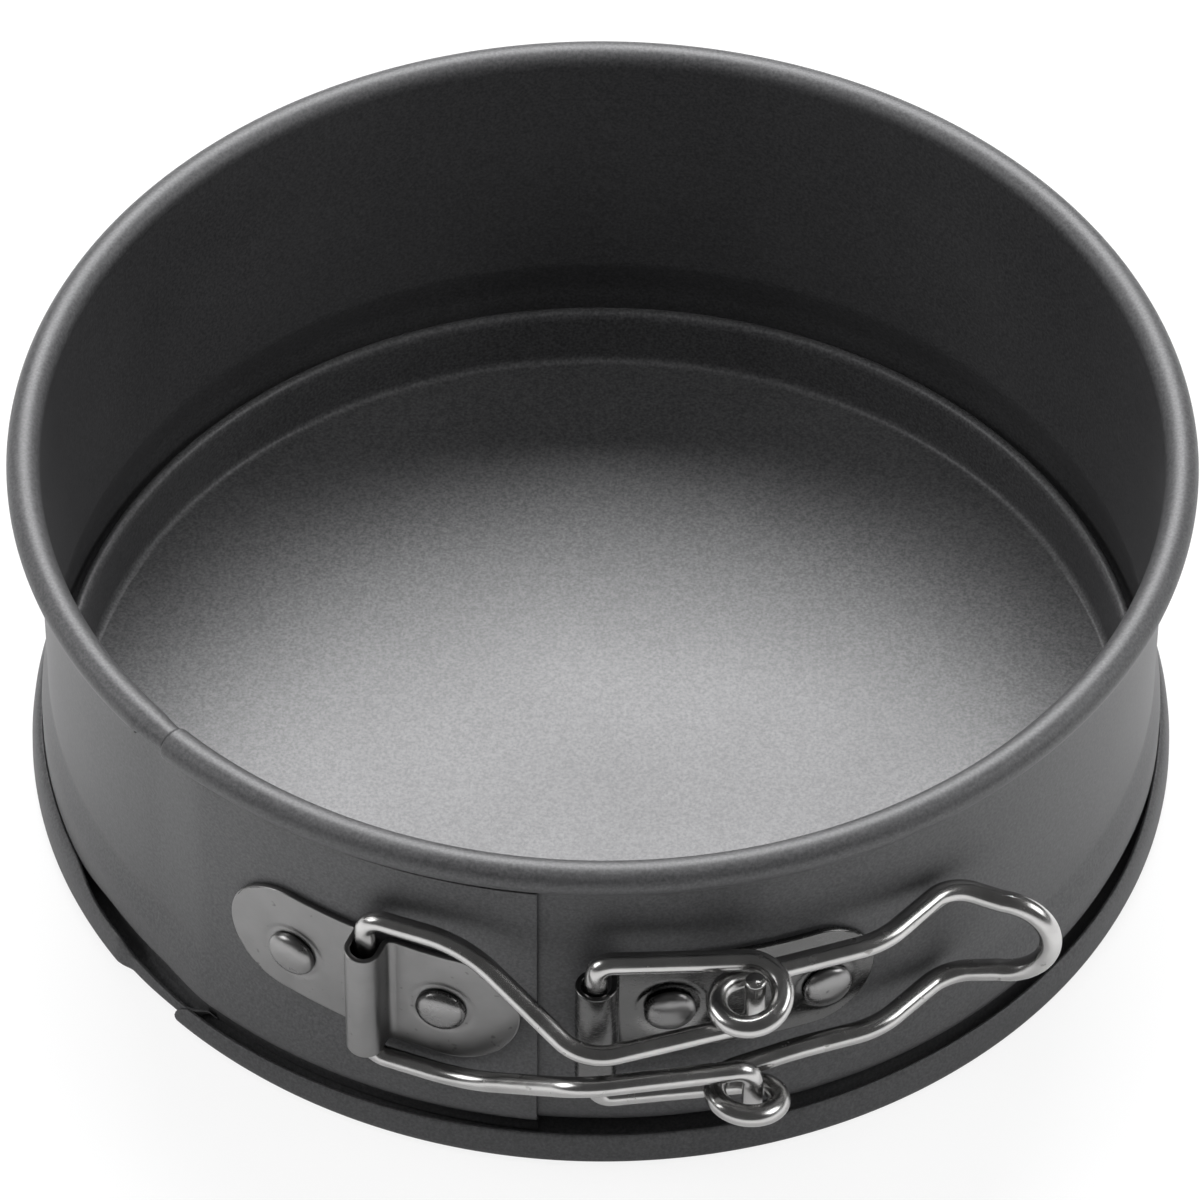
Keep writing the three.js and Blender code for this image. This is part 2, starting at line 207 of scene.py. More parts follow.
def even(points, step):
    """The same line with a point about every step, keeping both ends."""
    lengths = [0.0]
    for a, b in zip(points, points[1:]):
        lengths.append(lengths[-1] + (b - a).length)
    count = round(lengths[-1] / step)
    result, k = [], 0
    for i in range(count + 1):
        s = lengths[-1] * i / count
        while k < len(points) - 2 and lengths[k + 1] < s:
            k += 1
        span = lengths[k + 1] - lengths[k]
        t = (s - lengths[k]) / span if span else 0.0
        result.append(points[k].lerp(points[k + 1], min(max(t, 0.0), 1.0)))
    return result


# ---- Mesh helpers ----
def make(name, vertices, faces, uvs=None):
    """A smooth-shaded object from millimetre vertices. uvs has one pair for each vertex."""
    mesh = bpy.data.meshes.new(name)
    mesh.from_pydata([tuple(v * MM for v in p) for p in vertices], [], faces)
    if uvs:
        layer = mesh.uv_layers.new(name="UVMap")
        for loop in mesh.loops:
            layer.data[loop.index].uv = uvs[loop.vertex_index]
    mesh.shade_smooth()
    piece = bpy.data.objects.new(name, mesh)
    bpy.context.scene.collection.objects.link(piece)
    return piece


def apply_modifiers(piece):
    graph = bpy.context.evaluated_depsgraph_get()
    mesh = bpy.data.meshes.new_from_object(
        piece.evaluated_get(graph), preserve_all_data_layers=True, depsgraph=graph
    )
    piece.modifiers.clear()
    piece.data = mesh
    mesh.name = piece.name


def thicken(piece, thickness, edge):
    """Turns a middle surface into sheet metal with rounded cut edges."""
    solidify = piece.modifiers.new("sheet", "SOLIDIFY")
    solidify.thickness = thickness * MM
    solidify.offset = 0
    solidify.use_even_offset = True
    bevel = piece.modifiers.new("edges", "BEVEL")
    bevel.width = edge * MM
    bevel.segments = 2
    bevel.limit_method = "ANGLE"
    bevel.angle_limit = math.radians(50)
    bevel.use_clamp_overlap = False
    apply_modifiers(piece)


def drill(piece, places):
    """Cuts a rivet hole at each (azimuth, height)."""
    for azimuth, height in places:
        cutter = tube("cutter", [polar(azimuth, 54, height), polar(azimuth, 66, height)], HOLE_R, 32, 0)
        cut = piece.modifiers.new("hole", "BOOLEAN")
        cut.operation = "DIFFERENCE"
        cut.solver = "EXACT"
        cut.object = cutter
        apply_modifiers(piece)
        bpy.data.objects.remove(cutter)


def weigh_normals(piece):
    normals = piece.modifiers.new("normals", "WEIGHTED_NORMAL")
    normals.keep_sharp = True
    normals.weight = 60
    apply_modifiers(piece)


def grid_faces(rows, columns, wanted=lambda i, j: True):
    """Quads of a grid whose vertex (row i, column j) is number j * rows + i."""
    faces = []
    for j in range(columns - 1):
        for i in range(rows - 1):
            if wanted(i, j):
                a = j * rows + i
                faces.append((a, a + 1, a + rows + 1, a + rows))
    return faces


def drop_loose(piece):
    made = bmesh.new()
    made.from_mesh(piece.data)
    bmesh.ops.remove_doubles(made, verts=made.verts, dist=1e-7)
    loose = [v for v in made.verts if not v.link_faces]
    bmesh.ops.delete(made, geom=loose, context="VERTS")
    bmesh.ops.recalc_face_normals(made, faces=made.faces)
    made.to_mesh(piece.data)
    made.free()


def tube(name, path, radius, sides, chamfer):
    """A round bar along a path, with flat ends that have a small chamfer. V runs along it in millimetres."""
    tangents = []
    for i in range(len(path)):
        a, b = path[max(i - 1, 0)], path[min(i + 1, len(path) - 1)]
        tangents.append((b - a).normalized())
    across = tangents[0].orthogonal().normalized()
    rings = []
    run = 0.0
    for i, (point, tangent) in enumerate(zip(path, tangents)):
        if i:
            across = tangents[i - 1].rotation_difference(tangent) @ across
            run += (point - path[i - 1]).length
        rings.append((point, tangent, across.copy(), run, radius))
    if chamfer:
        for end, way in ((0, -1), (-1, 1)):
            point, tangent, side, run, _ = rings[end]
            rings[end] = (point - tangent * way * chamfer, tangent, side, run - way * chamfer, radius)
            extra = (point, tangent, side, run, radius - chamfer)
            if end == 0:
                rings.insert(0, extra)
            else:
                rings.append(extra)
    vertices, uvs = [], []
    for point, tangent, side, run, r in rings:
        up = tangent.cross(side)
        for k in range(sides):
            a = 2 * math.pi * k / sides
            vertices.append(point + side * (r * math.cos(a)) + up * (r * math.sin(a)))
            uvs.append((k / sides, run))
    faces = []
    for j in range(len(rings) - 1):
        for k in range(sides):
            n = (k + 1) % sides
            faces.append((j * sides + k, j * sides + n, (j + 1) * sides + n, (j + 1) * sides + k))
    faces.append(tuple(reversed(range(sides))))
    last = (len(rings) - 1) * sides
    faces.append(tuple(range(last, last + sides)))
    return make(name, vertices, faces, uvs)


def lathe(name, profile, sides, closed=False):
    """Turns [radius, height] points about +Z. A point on the axis becomes a pole."""
    vertices, index = [], []
    for radius, height in profile:
        if radius < 1e-6:
            index.append([len(vertices)] * sides)
            vertices.append(Vector((0, 0, height)))
        else:
            index.append([len(vertices) + k for k in range(sides)])
            vertices += [polar(360 * k / sides, radius, height) for k in range(sides)]
    faces = []
    lines = list(zip(index, index[1:]))
    if closed:
        lines.append((index[-1], index[0]))
    for a, b in lines:
        for k in range(sides):
            n = (k + 1) % sides
            quad = list(dict.fromkeys((a[k], a[n], b[n], b[k])))
            if len(quad) > 2:
                faces.append(tuple(quad))
    return make(name, vertices, faces)


# ---- Materials ----
class Nodes:
    """A material whose Principled shader is fed by noise in object space."""

    def __init__(self, name):
        self.material = bpy.data.materials.new(name)
        self.material.use_nodes = True
        self.tree = self.material.node_tree
        self.shader = self.tree.nodes["Principled BSDF"]
        self.coordinates = self.tree.nodes.new("ShaderNodeTexCoord")

    def link(self, source, target):
        self.tree.links.new(source, target)

    def noise(self, per_mm, detail=2.0, rough=0.5, stretch=None, source="Object"):
        """Noise with about per_mm features to the millimetre, 0 to 1."""
        scale = self.tree.nodes.new("ShaderNodeMapping")
        factor = per_mm / MM if source == "Object" else per_mm
        scale.inputs["Scale"].default_value = [factor * s for s in (stretch or (1, 1, 1))]
        texture = self.tree.nodes.new("ShaderNodeTexNoise")
        texture.inputs["Scale"].default_value = 1.0
        texture.inputs["Detail"].default_value = detail
        texture.inputs["Roughness"].default_value = rough
        self.link(self.coordinates.outputs[source], scale.inputs["Vector"])
        self.link(scale.outputs[0], texture.inputs["Vector"])
        return texture.outputs["Fac"]

    def ramp(self, value, low, high, at_low, at_high):
        """Maps value from low..high to at_low..at_high, clamped."""
        node = self.tree.nodes.new("ShaderNodeMapRange")
        for socket, number in zip(("From Min", "From Max", "To Min", "To Max"), (low, high, at_low, at_high)):
            node.inputs[socket].default_value = number
        self.link(value, node.inputs["Value"])
        return node.outputs[0]

    def math(self, operation, a, b):
        node = self.tree.nodes.new("ShaderNodeMath")
        node.operation = operation
        for socket, value in zip(node.inputs, (a, b)):
            if isinstance(value, (int, float)):
                socket.default_value = value
            else:
                self.link(value, socket)
        return node.outputs[0]

    def blend(self, factor, a, b):
        """A colour between a and b."""
        node = self.tree.nodes.new("ShaderNodeMix")
        node.data_type = "RGBA"
        self.link(factor, node.inputs[0])
        for socket, value in ((node.inputs[6], a), (node.inputs[7], b)):
            if isinstance(value, tuple):
                socket.default_value = (*value, 1)
            else:
                self.link(value, socket)
        return node.outputs[2]

    def bump(self, height, depth_mm, normal=None):
        node = self.tree.nodes.new("ShaderNodeBump")
        node.inputs["Strength"].default_value = 1.0
        node.inputs["Distance"].default_value = depth_mm * MM
        self.link(height, node.inputs["Height"])
        if normal is not None:
            self.link(normal, node.inputs["Normal"])
        return node.outputs[0]

    def feed(self, **sockets):
        for name, value in sockets.items():
            socket = self.shader.inputs[name.replace("_", " ")]
            if isinstance(value, (int, float)):
                socket.default_value = value
            elif isinstance(value, tuple):
                socket.default_value = (*value, 1)
            else:
                self.link(value, socket)


def coating(name, grain, peel, rough):
    """Charcoal non-stick coating: metallic grain, fine orange peel and soft sheen."""
    m = Nodes(name)
    fine = m.noise(3.2, detail=3.0, rough=0.6)
    coarse = m.noise(0.9, detail=2.0)
    broad = m.noise(0.05, detail=2.0)
    speckle = m.ramp(fine, 0.35, 0.7, 0.0, 1.0)
    tone = m.math("ADD", m.math("MULTIPLY", speckle, grain), m.ramp(broad, 0.3, 0.7, 0.0, 0.15))
    colour = m.blend(tone, (0.040, 0.040, 0.042), (0.115, 0.115, 0.118))
    patches = m.ramp(broad, 0.3, 0.7, rough - 0.02, rough + 0.03)
    roughness = m.math("ADD", patches, m.ramp(fine, 0.3, 0.7, -0.03, 0.03))
    normal = m.bump(fine, peel * 0.35, m.bump(coarse, peel))
    m.feed(Base_Color=colour, Roughness=roughness, Normal=normal, Metallic=0.35)
    m.shader.inputs["Specular IOR Level"].default_value = 0.6
    return m.material


def plating(name, tone, rough, wave):
    """Bright nickel plate with faint waviness, fine scratches and cloudy patches."""
    m = Nodes(name)
    cloud = m.noise(0.25, detail=3.0)
    scratch = m.noise(1.6, detail=4.0, rough=0.65, stretch=(1.0, 1.0, 7.0))
    pits = m.ramp(m.noise(1.1, detail=1.0), 0.22, 0.30, 0.0, 1.0)
    light = m.blend(m.ramp(cloud, 0.3, 0.7, 0.0, 1.0), tuple(0.86 * c for c in tone), tone)
    colour = m.blend(pits, tuple(0.55 * c for c in tone), light)
    patches = m.ramp(cloud, 0.3, 0.7, rough, rough + 0.07)
    roughness = m.math("ADD", patches, m.ramp(scratch, 0.5, 0.75, 0.0, 0.10))
    normal = m.bump(scratch, 0.004, m.bump(cloud, wave))
    m.feed(Base_Color=colour, Roughness=roughness, Normal=normal, Metallic=1.0)
    return m.material


def wire_plating(name):
    """Plated wire with draw lines along it."""
    m = Nodes(name)
    lines = m.noise(9.0, detail=2.0, stretch=(1.0, 0.006, 1.0), source="UV")
    cloud = m.noise(0.3, detail=3.0)
    marks = m.ramp(m.noise(0.8, detail=2.0), 0.68, 0.74, 0.0, 1.0)
    colour = m.blend(m.ramp(cloud, 0.3, 0.7, 0.0, 1.0), (0.39, 0.386, 0.38), (0.48, 0.475, 0.47))
    colour = m.blend(marks, colour, (0.30, 0.296, 0.288))
    roughness = m.math("ADD", m.ramp(cloud, 0.3, 0.7, 0.20, 0.27), m.math("MULTIPLY", marks, 0.15))
    normal = m.bump(lines, 0.012, m.bump(cloud, 0.03))
    m.feed(Base_Color=colour, Roughness=roughness, Normal=normal, Metallic=1.0)
    return m.material


LOOKS = {
    "band": coating("band_coating", 0.6, 0.012, 0.54),
    "base": coating("base_coating", 0.9, 0.016, 0.49),
    "strap": plating("strap_plating", (0.24, 0.238, 0.237), 0.32, 0.008),
    # the same plate as the strap, given a darker tone: painted shade for the dim surroundings the right
    # bracket reflects
    "mirror": plating("mirror_plating_painted_shade", (0.15, 0.149, 0.148), 0.20, 0.012),
    "rivet": plating("rivet_plating", (0.24, 0.238, 0.237), 0.24, 0.02),
    "wire": wire_plating("wire_plating"),
}


def finish_piece(piece, look, nodes):
    piece.data.materials.clear()
    piece.data.materials.append(LOOKS[look])
    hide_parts(*nodes)


# ---- Band ----
def lip_closed(azimuth):
    """How far the lip is pressed against the bead, 0 to 1."""
    return smoothstep(azimuth, *LIP_CLOSES) * (1 - smoothstep(azimuth, *LIP_OPENS))


def lip_points(azimuth):
    """The lip's bottom, widest point and free edge: each shape takes over from the one before it."""
    nested = smoothstep(azimuth, *LIP_PRESSED_IN) * 0.8 + smoothstep(azimuth, *LIP_TUCKED_IN) * 0.2
    shares = (
        (LIP_LOW, 1 - smoothstep(azimuth, INNER_END, LOW_LIP_END)),
        (LIP_RAISED, smoothstep(azimuth, *LIP_RISES)),
        (LIP_CLOSED, lip_closed(azimuth)),
        (LIP, smoothstep(azimuth, *LIP_OPENS)),
        (LIP_NESTED, nested),
    )
    points = [Vector(p) for p in LIP]
    for shape, share in shares:
        points = [point.lerp(Vector(p), share) for point, p in zip(points, shape)]
    return points


def curl_points(azimuth, wall):
    """The rolled rim, from its free edge round to the wall."""
    flare = CURL_FLARE * (1 - smoothstep(azimuth, INNER_END, INNER_END + CURL_FLARE_LENGTH))
    drawn_in = CURL_R - CURL_DRAW * smoothstep(azimuth, *CURL_DRAWN_IN)
    radius = mix(drawn_in, CURL_NESTED, smoothstep(azimuth, *CURL_NESTS)) + flare
    edge = mix(CURL_EDGE, CURL_CUT, smoothstep(azimuth, *CURL_CUT_AT))
    centre = WALL + CURL_R + flare * 0.7
    middle = CURL_Z - flare
    points = []
    for i in range(CURL_ROWS + 1):
        a = math.radians(mix(edge, 180, i / CURL_ROWS))
        points.append(Vector((centre + radius * math.cos(a), middle + radius * math.sin(a))))
    if azimuth < JOINT:
        points[-1] = Vector((wall, CURL_Z))
    return points


def band_section(azimuth):
    """Middle line of the strip from the curl's free edge to the lip's: [(radius, height)]."""
    fold = FOLD_HEIGHT * math.exp(-(((azimuth - FOLD) / FOLD_WIDTH) ** 2))
    out = LAYER_STEP * smoothstep(azimuth, *STEP) + fold
    wall = WALL + out
    points = curl_points(azimuth, wall)
    points += [Vector((wall, mix(OUTER_TOP, BEAD_TOP, i / WALL_ROWS))) for i in range(WALL_ROWS + 1)]
    closed = lip_closed(azimuth)
    bead = zip((BEAD_UPPER, BEAD_LOWER, BEAD_UNDER, NECK), BEAD_SAG)
    upper, lower, under, neck = (Vector((r + out, z - sag * closed)) for (r, z), sag in bead)
    crease = points[-1] - Vector((0, 0.45))
    shoulder = upper + Vector((0, 1.2))
    points += bezier(points[-1], crease, crease.lerp(shoulder, 0.12), FLARE_ROWS)
    points += bezier(points[-1], crease.lerp(shoulder, 0.42), crease.lerp(shoulder, 0.72), FLARE_ROWS)
    points += bezier(points[-1], shoulder, upper, FLARE_ROWS)
    points += bezier(upper, (upper + lower) / 2, lower, UPRIGHT_ROWS)
    points += bezier(lower, (lower.x, under.y + 0.7), under, UNDER_ROWS)
    points += bezier(under, (neck.x + 0.3, neck.y + 0.35), neck, NECK_ROWS)
    bottom, widest, edge = lip_points(azimuth)
    points += bezier(neck, (neck.x, bottom.y), bottom, GUTTER_ROWS)
    points += bezier(bottom, (widest.x, bottom.y), widest, LIP_ROWS)
    points += bezier(widest, (widest.x, edge.y - 0.4), edge, EDGE_ROWS)
    hidden = smoothstep(azimuth, *LIP_TONGUE_CUT) * 0.95
    end = LAST_WALL_ROW + 2
    return points[: end + 1] + [p.lerp(points[end], hidden) for p in points[end + 1 :]]


def strip_azimuths():
    """Columns of the strip: one a degree, closer where its shape changes. Stops are (azimuth, step)."""
    stops = [(INNER_END, 0.25), (-131.4, 0.5), (-124, 1.0), (205, 0.35), (218, 0.2), (223, 0.1)]
    stops += [(CURL_START, 0.2), (231, 1.0), (OUTER_END, None)]
    azimuths = []
    for (start, step), (stop, _) in zip(stops, stops[1:]):
        count = round((stop - start) / step)
        azimuths += [mix(start, stop, i / count) for i in range(count)]
    return azimuths + [OUTER_END]


def slanted(azimuth, row, rows):
    """The right end's lip is cut to a blunt tip, furthest along at the lip's widest height."""
    into_lip = (row - LAST_WALL_ROW) / (rows - 1 - LAST_WALL_ROW)
    if into_lip <= 0:
        return azimuth
    widest, cut_back, length = 0.72, 1.7, 8
    off = (into_lip - widest) / (1 - widest) if into_lip > widest else (widest - into_lip) / widest
    return azimuth + cut_back * off**1.5 * (1 - smoothstep(azimuth, INNER_END, INNER_END + length))


def band():
    azimuths = strip_azimuths()
    vertices, along = [], []
    for azimuth in azimuths:
        section = band_section(azimuth)
        for row, (radius, height) in enumerate(section):
            vertices.append(polar(slanted(azimuth, row, len(section)), radius, height))
            along.append(azimuth)
    rows = len(section)

    def wanted(i, j):
        """Leaves out what is cut away at the strip's two ends."""
        start, stop = azimuths[j], azimuths[j + 1]
        if FIRST_WALL_ROW <= i < LAST_WALL_ROW and start < INNER_WALL_END:
            return False
        if i < FIRST_WALL_ROW and start < CURL_START - 360 - 0.01:
            return False
        if i == CURL_ROWS:
            return stop < JOINT
        if i < CURL_ROWS:
            return stop <= CURL_TONGUE_END
        if i >= LAST_WALL_ROW + 2:
            return stop <= LIP_TONGUE_END
        return True

    piece = make("band", vertices, grid_faces(rows, len(azimuths), wanted))
    strip = piece.data.attributes.new("strip", "FLOAT", "POINT")
    strip.data.foreach_set("value", along)
    drop_loose(piece)
    thicken(piece, SHEET, 0.12)
    drill(piece, LEFT_RIVETS + RIGHT_RIVETS)
    weigh_normals(piece)
    finish_piece(piece, "band", ["band_right", "band_left"])
    bend_at_the_back(piece)


def bend_at_the_back(piece):
    """Bakes the strip's transform into its mesh."""
    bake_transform(piece)


# ---- Base plate ----
def base_plate():
    line = [Vector((r, SHEET / 2)) for r in (0.0, 6.0, 14.0, 22.0, 30.0, 38.0, 46.0, 52.0, FLOOR_R - 0.4)]
    line += bezier(line[-1], (FLOOR_R + 0.55, SHEET / 2), (FLOOR_R + 0.72, 1.35), 8)
    line += bezier(line[-1], (FLOOR_R + 0.8, 3.0), (FLANGE_R - 0.85, FLANGE_TOP - 0.9), 5)
    line += bezier(line[-1], (FLANGE_R - 0.8, FLANGE_TOP), (FLANGE_R - 0.35, FLANGE_TOP), 6)
    line += bezier(line[-1], (FLANGE_R, FLANGE_TOP), (FLANGE_R, FLANGE_TOP - 0.45), 5)
    line.append(Vector((FLANGE_R, FLANGE_END)))
    piece = lathe("base_plate_formed", line, 256)
    drop_loose(piece)
    thicken(piece, SHEET, 0.1)
    weigh_normals(piece)
    finish_piece(piece, "base", ["base_plate"])
    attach(piece, "base")


# ---- Brackets ----
def plate_arc(radius, start, stop):
    """Points [across, out] on a circle about the pan's axis, between two angles from the hump."""
    count = max(2, math.ceil(radius * math.radians(abs(stop - start)) / 0.22))
    return [
        Vector((radius * math.sin(a), radius * math.cos(a)))
        for a in (math.radians(mix(start, stop, i / count)) for i in range(count + 1))
    ]


def arc(centre, radius, start, stop, count):
    return [
        Vector((radius * math.cos(a), centre + radius * math.sin(a)))
        for a in (math.radians(mix(start, stop, i / count)) for i in range(count + 1))
    ]


def pressed(azimuth, radius, height, rivets):
    """How far the rivet tool moves the sheet outwards: a faint ring round each head, and a dish at one."""
    depth = 0.0
    for rivet_azimuth, rivet_height in rivets:
        along = math.radians(azimuth - rivet_azimuth) * radius
        d = math.hypot(along, height - rivet_height)
        depth -= RING_DEPTH * math.exp(-(((d - RIVET_HEAD - RING_GAP) / RING_WIDTH) ** 2))
        if rivet_azimuth == DISHED:
            depth -= DISH_DEPTH * (1 - smoothstep(d, *DISH))
    return depth


def columns_between(line, start, stop):
    """Straight columns over the line's points. start and stop are (height, half height) at its two ends."""
    columns = []
    for x, out in line:
        t = (x - line[0][0]) / (line[-1][0] - line[0][0])
        height, half = mix(start[0], stop[0], t), mix(start[1], stop[1], t)
        columns.append([(x, out, height + half * (2 * i / STRAP_ROWS - 1)) for i in range(STRAP_ROWS + 1)])
    return columns


def lobe(plate, tip, height, half):
    """Columns from the middle of a round end out to its tip, bulging more and more. tip is an angle."""
    way = math.copysign(1, tip)
    centre = math.radians(tip) - way * half / plate
    columns = []
    for step in range(1, LOBE_COLUMNS + 1):
        s = step / LOBE_COLUMNS
        column = []
        for i in range(STRAP_ROWS + 1):
            v = 2 * i / STRAP_ROWS - 1
            angle = centre + way * half * s * math.sqrt(1 - v * v / 2) / plate
            z = height + half * v * math.sqrt(1 - s * s / 2)
            column.append((plate * math.sin(angle), plate * math.cos(angle), z))
        columns.append(column)
    return columns


def strap(name, columns, azimuth, rivets):
    """A bracket from columns of (across, out, up from the latch's height), drilled for its rivets."""
    vertices = []
    for column in columns:
        for across, out, up in column:
            flat = polar(azimuth, out, 0) + polar(azimuth + 90, across, 0)
            at = math.degrees(math.atan2(flat.y, flat.x)) % 360
            outwards = flat.normalized() * pressed(at, flat.length, LATCH_Z + up, rivets)
            vertices.append(flat + outwards + Vector((0, 0, LATCH_Z + up)))
    piece = make(name, vertices, grid_faces(STRAP_ROWS + 1, len(columns)))
    drop_loose(piece)
    thicken(piece, STRAP, 0.13)
    drill(piece, rivets)
    weigh_normals(piece)
    return piece


def bracket_left():
    """A strap with a hump over the link's rod; its two ends differ in height and place."""
    width = LINK_WIRE + HUMP_PLAY + STRAP / 2
    centre = LEFT_PLATE + HUMP_RISE
    left, right = (0.35, 7.0), (-1.6, 7.2)

    def foot(bend):
        """From the flat plate up one side of the hump, on its positive side."""
        start = math.degrees((width + bend) / LEFT_PLATE)
        turn = [Vector((width + bend - bend * math.sin(a), LEFT_PLATE + bend - bend * math.cos(a)))
                for a in (math.radians(15 * i) for i in range(1, 7))]
        side = [Vector((width, mix(turn[-1].y, centre, i / 5))) for i in range(1, 5)]
        return start, turn + side

    tips = [a - HUMP_AZ for a in LEFT_ENDS]
    middles = [math.degrees(math.radians(tip) + turned / LEFT_PLATE)
               for tip, turned in ((tips[0], left[1]), (tips[1], -right[1]))]
    right_start, right_foot = foot(0.9)
    left_start, left_foot = foot(0.5)
    line = plate_arc(LEFT_PLATE, middles[1], right_start) + right_foot + arc(centre, width, 0, 180, 24)
    line += [Vector((-p.x, p.y)) for p in reversed(left_foot)]
    line += plate_arc(LEFT_PLATE, -left_start, middles[0])
    columns = lobe(LEFT_PLATE, tips[1], *right)[::-1]
    columns += columns_between(line, right, left)
    columns += lobe(LEFT_PLATE, tips[0], *left)
    piece = strap("left_bracket", columns, HUMP_AZ, LEFT_RIVETS)
    finish_piece(piece, "strap", ["bracket_left"])
    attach(piece, "ring_left")


def bracket_right():
    """A plate whose left end is rolled into a barrel round the lever's two ends."""
    width = LEVER_WIRE + BARREL_PLAY + STRAP / 2
    bend = 0.7
    shape = (0.0, 6.6)
    tip = RIGHT_END - BARREL_AZ
    middle = math.degrees(math.radians(tip) - shape[1] / RIGHT_PLATE)
    foot = math.degrees((width + bend) / RIGHT_PLATE)
    bend_in = [Vector((width + bend - bend * math.sin(a), RIGHT_PLATE + bend - bend * math.cos(a)))
               for a in (math.radians(15 * i) for i in range(1, 7))]
    side = [Vector((width, mix(bend_in[-1].y, BARREL_R, i / 5))) for i in range(1, 5)]
    line = plate_arc(RIGHT_PLATE, middle, foot) + bend_in + side + arc(BARREL_R, width, 0, 240, 32)
    columns = lobe(RIGHT_PLATE, tip, *shape)[::-1] + columns_between(line, shape, shape)
    piece = strap("right_bracket", columns, BARREL_AZ, RIGHT_RIVETS)
    # the darker plating here is painted shade, not a different metal
    finish_piece(piece, "mirror", ["bracket_right"])
    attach(piece, "ring_right")


# ---- Rivets ----
def rivet(node, place, seat, tip, body):
    """A dome-headed rivet at place, (azimuth, height), with a faintly dented head."""
    chamfer, rim, steps = 0.1, 0.17, 16
    profile = [(0.0, tip), (RIVET_SHANK * 0.6, tip), (RIVET_SHANK - chamfer, tip)]
    profile += [(RIVET_SHANK, tip + chamfer)]
    profile += [(RIVET_SHANK, seat), (RIVET_HEAD - 0.25, seat), (RIVET_HEAD - 0.06, seat + 0.05)]
    profile += [(RIVET_HEAD, seat + rim)]
    for i in range(1, steps + 1):
        a = math.pi / 2 * i / steps
        dome = (RIVET_DOME - rim) * math.sin(a) ** 0.85
        profile.append((RIVET_HEAD * math.cos(a) ** 0.9 if i < steps else 0.0, seat + rim + dome))
    piece = lathe(node + "_turned", profile, 48)
    for vertex in piece.data.vertices:
        where = vertex.co / MM + Vector(place).to_3d()
        dent = 0.035 * noise.noise(where * 0.45) + 0.01 * noise.noise(where * 1.6)
        if vertex.co.z > (seat + 0.3) * MM:
            vertex.co.z += dent * MM
    azimuth, height = place
    axes = Matrix((polar(azimuth + 90, 1, 0), Vector((0, 0, 1)), polar(azimuth, 1, 0))).transposed()
    piece.data.transform(Matrix.Translation((0, 0, height * MM)) @ axes.to_4x4())
    drop_loose(piece)
    finish_piece(piece, "rivet", [node])
    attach(piece, body)


# ---- Wires ----
def mirrored(half):
    """A path and its mirror image below the middle height; the half path ends on that height."""
    return half + [Vector((p.x, p.y, -p.z)) for p in reversed(half[:-1])]


def wire(name, half, middle, radius, node, body):
    """A bent wire that is the same above and below its middle height."""
    path = [p + Vector((0, 0, middle)) for p in even(mirrored(half), 0.25)]
    piece = tube(name, path, radius, 32, 0.15)
    finish_piece(piece, "wire", [node])
    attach(piece, body)
    return piece


def link_wire():
    """From one pin along its leg to the rod in the hump."""
    half = filleted([
        ((*PINS, PIN_TOP), 0),
        ((*PINS, 3.5), 1.9),
        ((-1.5, -67.15, 2.0), 3.2),
        ((-13.2, -59.3, LEG_H + 0.4), 4.0),
        ((*LINK_ROD, LEG_H + 0.3), 2.0),
        ((*LINK_ROD, 0.0), 0),
    ])
    wire("link_bent", half, LINK_Z, LINK_WIRE, "link_wire", "link")


def coil():
    """One turn about the eye's axis that drops by one wire and leans forwards."""
    enter, leave, top, drop, lean, steps = 5.0, 22.0 - 360.0, 8.54, 2.42, 0.19, 96
    points = []
    for i in range(steps + 1):
        t = i / steps
        heading = math.radians(mix(enter, leave, t))
        x, y = -EYE_R * math.sin(heading), EYE_R * math.cos(heading)
        points.append(Vector((EYE[0] + x, EYE[1] + y, top - drop * t + lean * y)))
    return points


def lever_wire():
    """From the barrel through one leg and its coil to the middle of the loop handle."""
    turns = coil()
    loop, handle = Vector((39.6, -48.4, 0.0)), 5.1
    outwards = Vector((0.986, -0.166, 0.0))
    before = filleted([((*LEVER_ROD, 1.6), 0), ((*LEVER_ROD, LEG_H + 0.2), 1.7), (turns[0], 0)])
    after = filleted([
        (turns[-1], 0),
        ((19.6, -57.75, 6.35), 2.0),
        ((27.6, -55.0, 6.35), 2.5),
        ((34.5, -47.5, 6.4), 2.5),
        (loop + Vector((0, 0, handle)), 0),
    ])
    round_end = [loop + outwards * (handle * math.sin(a)) + Vector((0, 0, handle * math.cos(a)))
                 for a in (math.pi / 2 * i / 16 for i in range(1, 17))]
    half = before[:-1] + turns + after[1:] + round_end
    wire("lever_bent", half, LATCH_Z, LEVER_WIRE, "lever_wire", "lever")


# ---- Surroundings ----
def softbox(name, place, target, size, power, mirrored_too=True):
    """A soft rectangular lamp in metres and watts. mirrored_too says whether shiny surfaces show it."""
    light = bpy.data.lights.new(name, "AREA")
    light.shape = "RECTANGLE"
    light.size, light.size_y = size
    light.energy = power
    lamp = bpy.data.objects.new(name, light)
    lamp.visible_glossy = mirrored_too
    lamp.location = place
    lamp.rotation_mode = "QUATERNION"
    lamp.rotation_quaternion = (Vector(target) - Vector(place)).to_track_quat("-Z", "Y")
    bpy.context.scene.collection.objects.link(lamp)


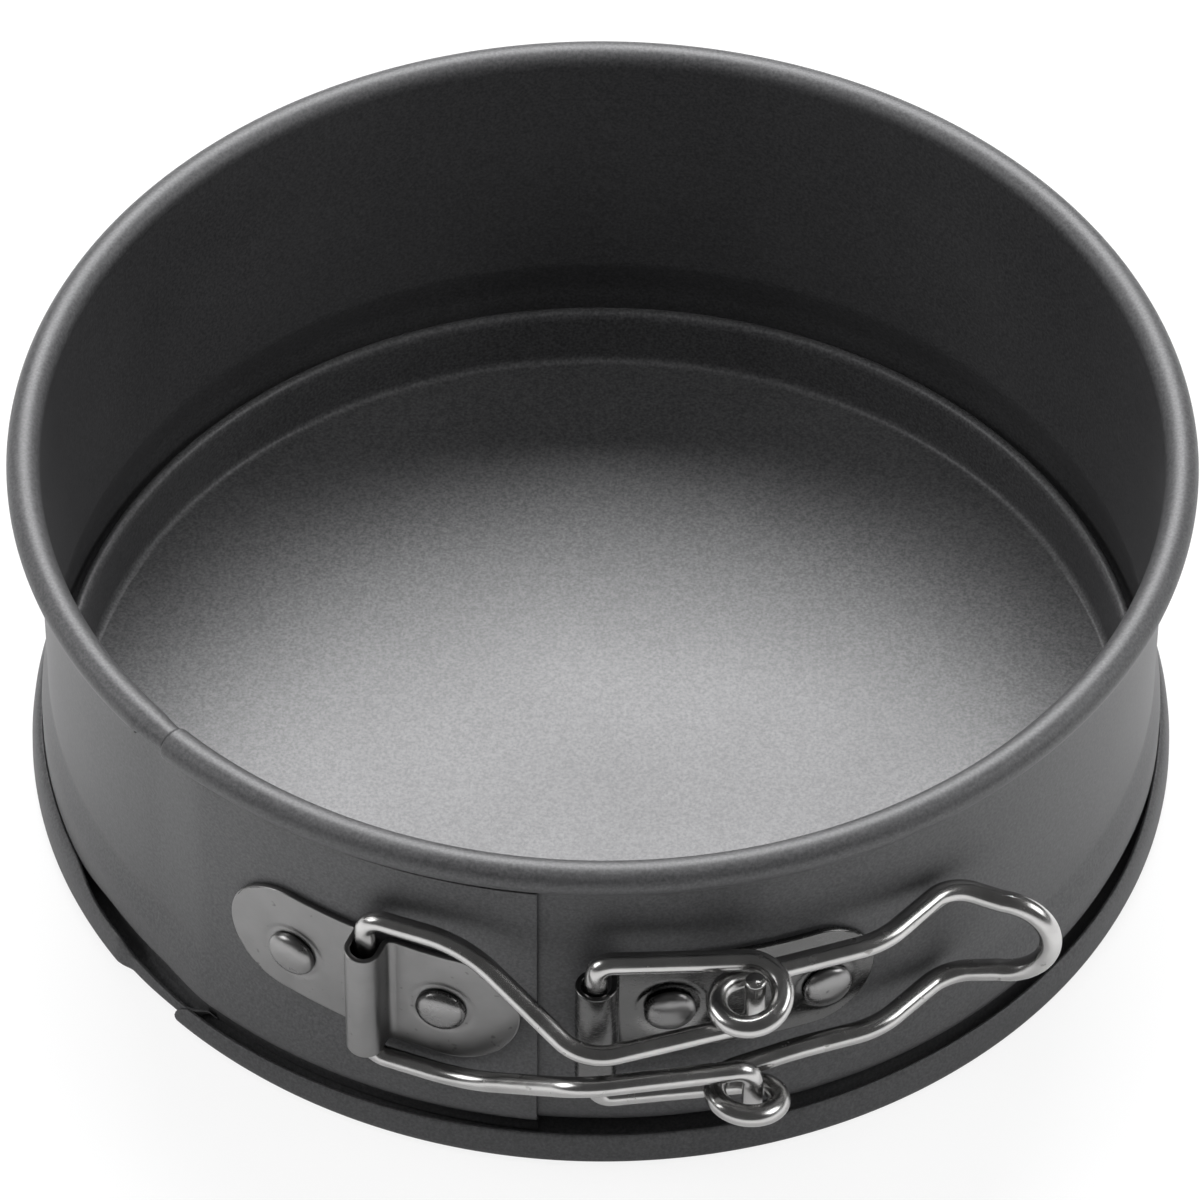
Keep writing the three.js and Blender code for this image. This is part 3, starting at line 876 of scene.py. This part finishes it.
def table():
    """A pale floor, which the camera sees brighter than the pan mirrors it.

    It lies a hair below the base plate, so that the two flat faces never share a plane.
    """
    side, top = 3000.0, -0.02
    corners = [(-side, -side, top), (side, -side, top), (side, side, top), (-side, side, top)]
    floor = make("floor", corners, [(0, 1, 2, 3)])
    m = Nodes("pale_floor")
    seen = m.tree.nodes.new("ShaderNodeLightPath").outputs["Is Camera Ray"]
    colour = m.blend(seen, (0.72, 0.72, 0.722), (0.10, 0.10, 0.1005))
    glow = m.ramp(seen, 0.0, 1.0, 0.13, 0.86)
    m.feed(Base_Color=colour, Roughness=0.75, Emission_Color=(1.0, 1.0, 1.0), Emission_Strength=glow)
    floor.data.materials.append(m.material)


def camera():
    """In front of the latch, 46 degrees above the horizon. Angles in radians, lengths in metres."""
    elevation, distance, roll = 0.80498, 0.8276, 0.00608
    target = Vector((-0.000177, 0, 0.020036))
    back = Vector((0, -math.cos(elevation), math.sin(elevation)))
    right = Vector((1, 0, 0))
    up = back.cross(right)
    turned_right = right * math.cos(roll) + up * math.sin(roll)
    turned_up = up * math.cos(roll) - right * math.sin(roll)
    data = bpy.data.cameras.new("camera")
    data.lens, data.sensor_width = 240, 36
    eye = bpy.data.objects.new("camera", data)
    axes = Matrix((turned_right, turned_up, back)).transposed().to_4x4()
    eye.matrix_world = Matrix.Translation(target + back * distance) @ axes
    bpy.context.scene.collection.objects.link(eye)
    bpy.context.scene.camera = eye


def studio():
    world = bpy.data.worlds.new("studio")
    world.use_nodes = True
    world.node_tree.nodes["Background"].inputs[0].default_value = (0.10, 0.10, 0.10, 1)
    bpy.context.scene.world = world
    bpy.context.scene.view_settings.view_transform = "Standard"
    softbox("key", (0.0, 0.42, 0.60), (0, 0, 0.02), (0.50, 0.36), 10.0)
    softbox("left", (-0.75, -0.05, 0.45), (0, 0, 0.02), (0.5, 0.35), 2.5)
    softbox("right", (0.75, -0.05, 0.45), (0, 0, 0.02), (0.5, 0.35), 2.5)
    softbox("fill", (0.0, -0.35, 0.90), (0, 0.03, 0.02), (0.9, 0.7), 5.0, mirrored_too=False)


band()
base_plate()
bracket_left()
bracket_right()
LEFT_SEAT = LEFT_PLATE + STRAP / 2 + 0.05
RIGHT_SEAT = RIGHT_PLATE + STRAP / 2 + 0.05
for number, place in enumerate(LEFT_RIVETS, 1):
    rivet(f"rivet_left_{number}", place, LEFT_SEAT, WALL + SHEET / 2 + 0.2, "ring_left")
for number, place in enumerate(RIGHT_RIVETS, 1):
    rivet(f"rivet_right_{number}", place, RIGHT_SEAT, WALL - SHEET / 2 + 0.05, "ring_right")
link_wire()
lever_wire()
table()
camera()
studio()
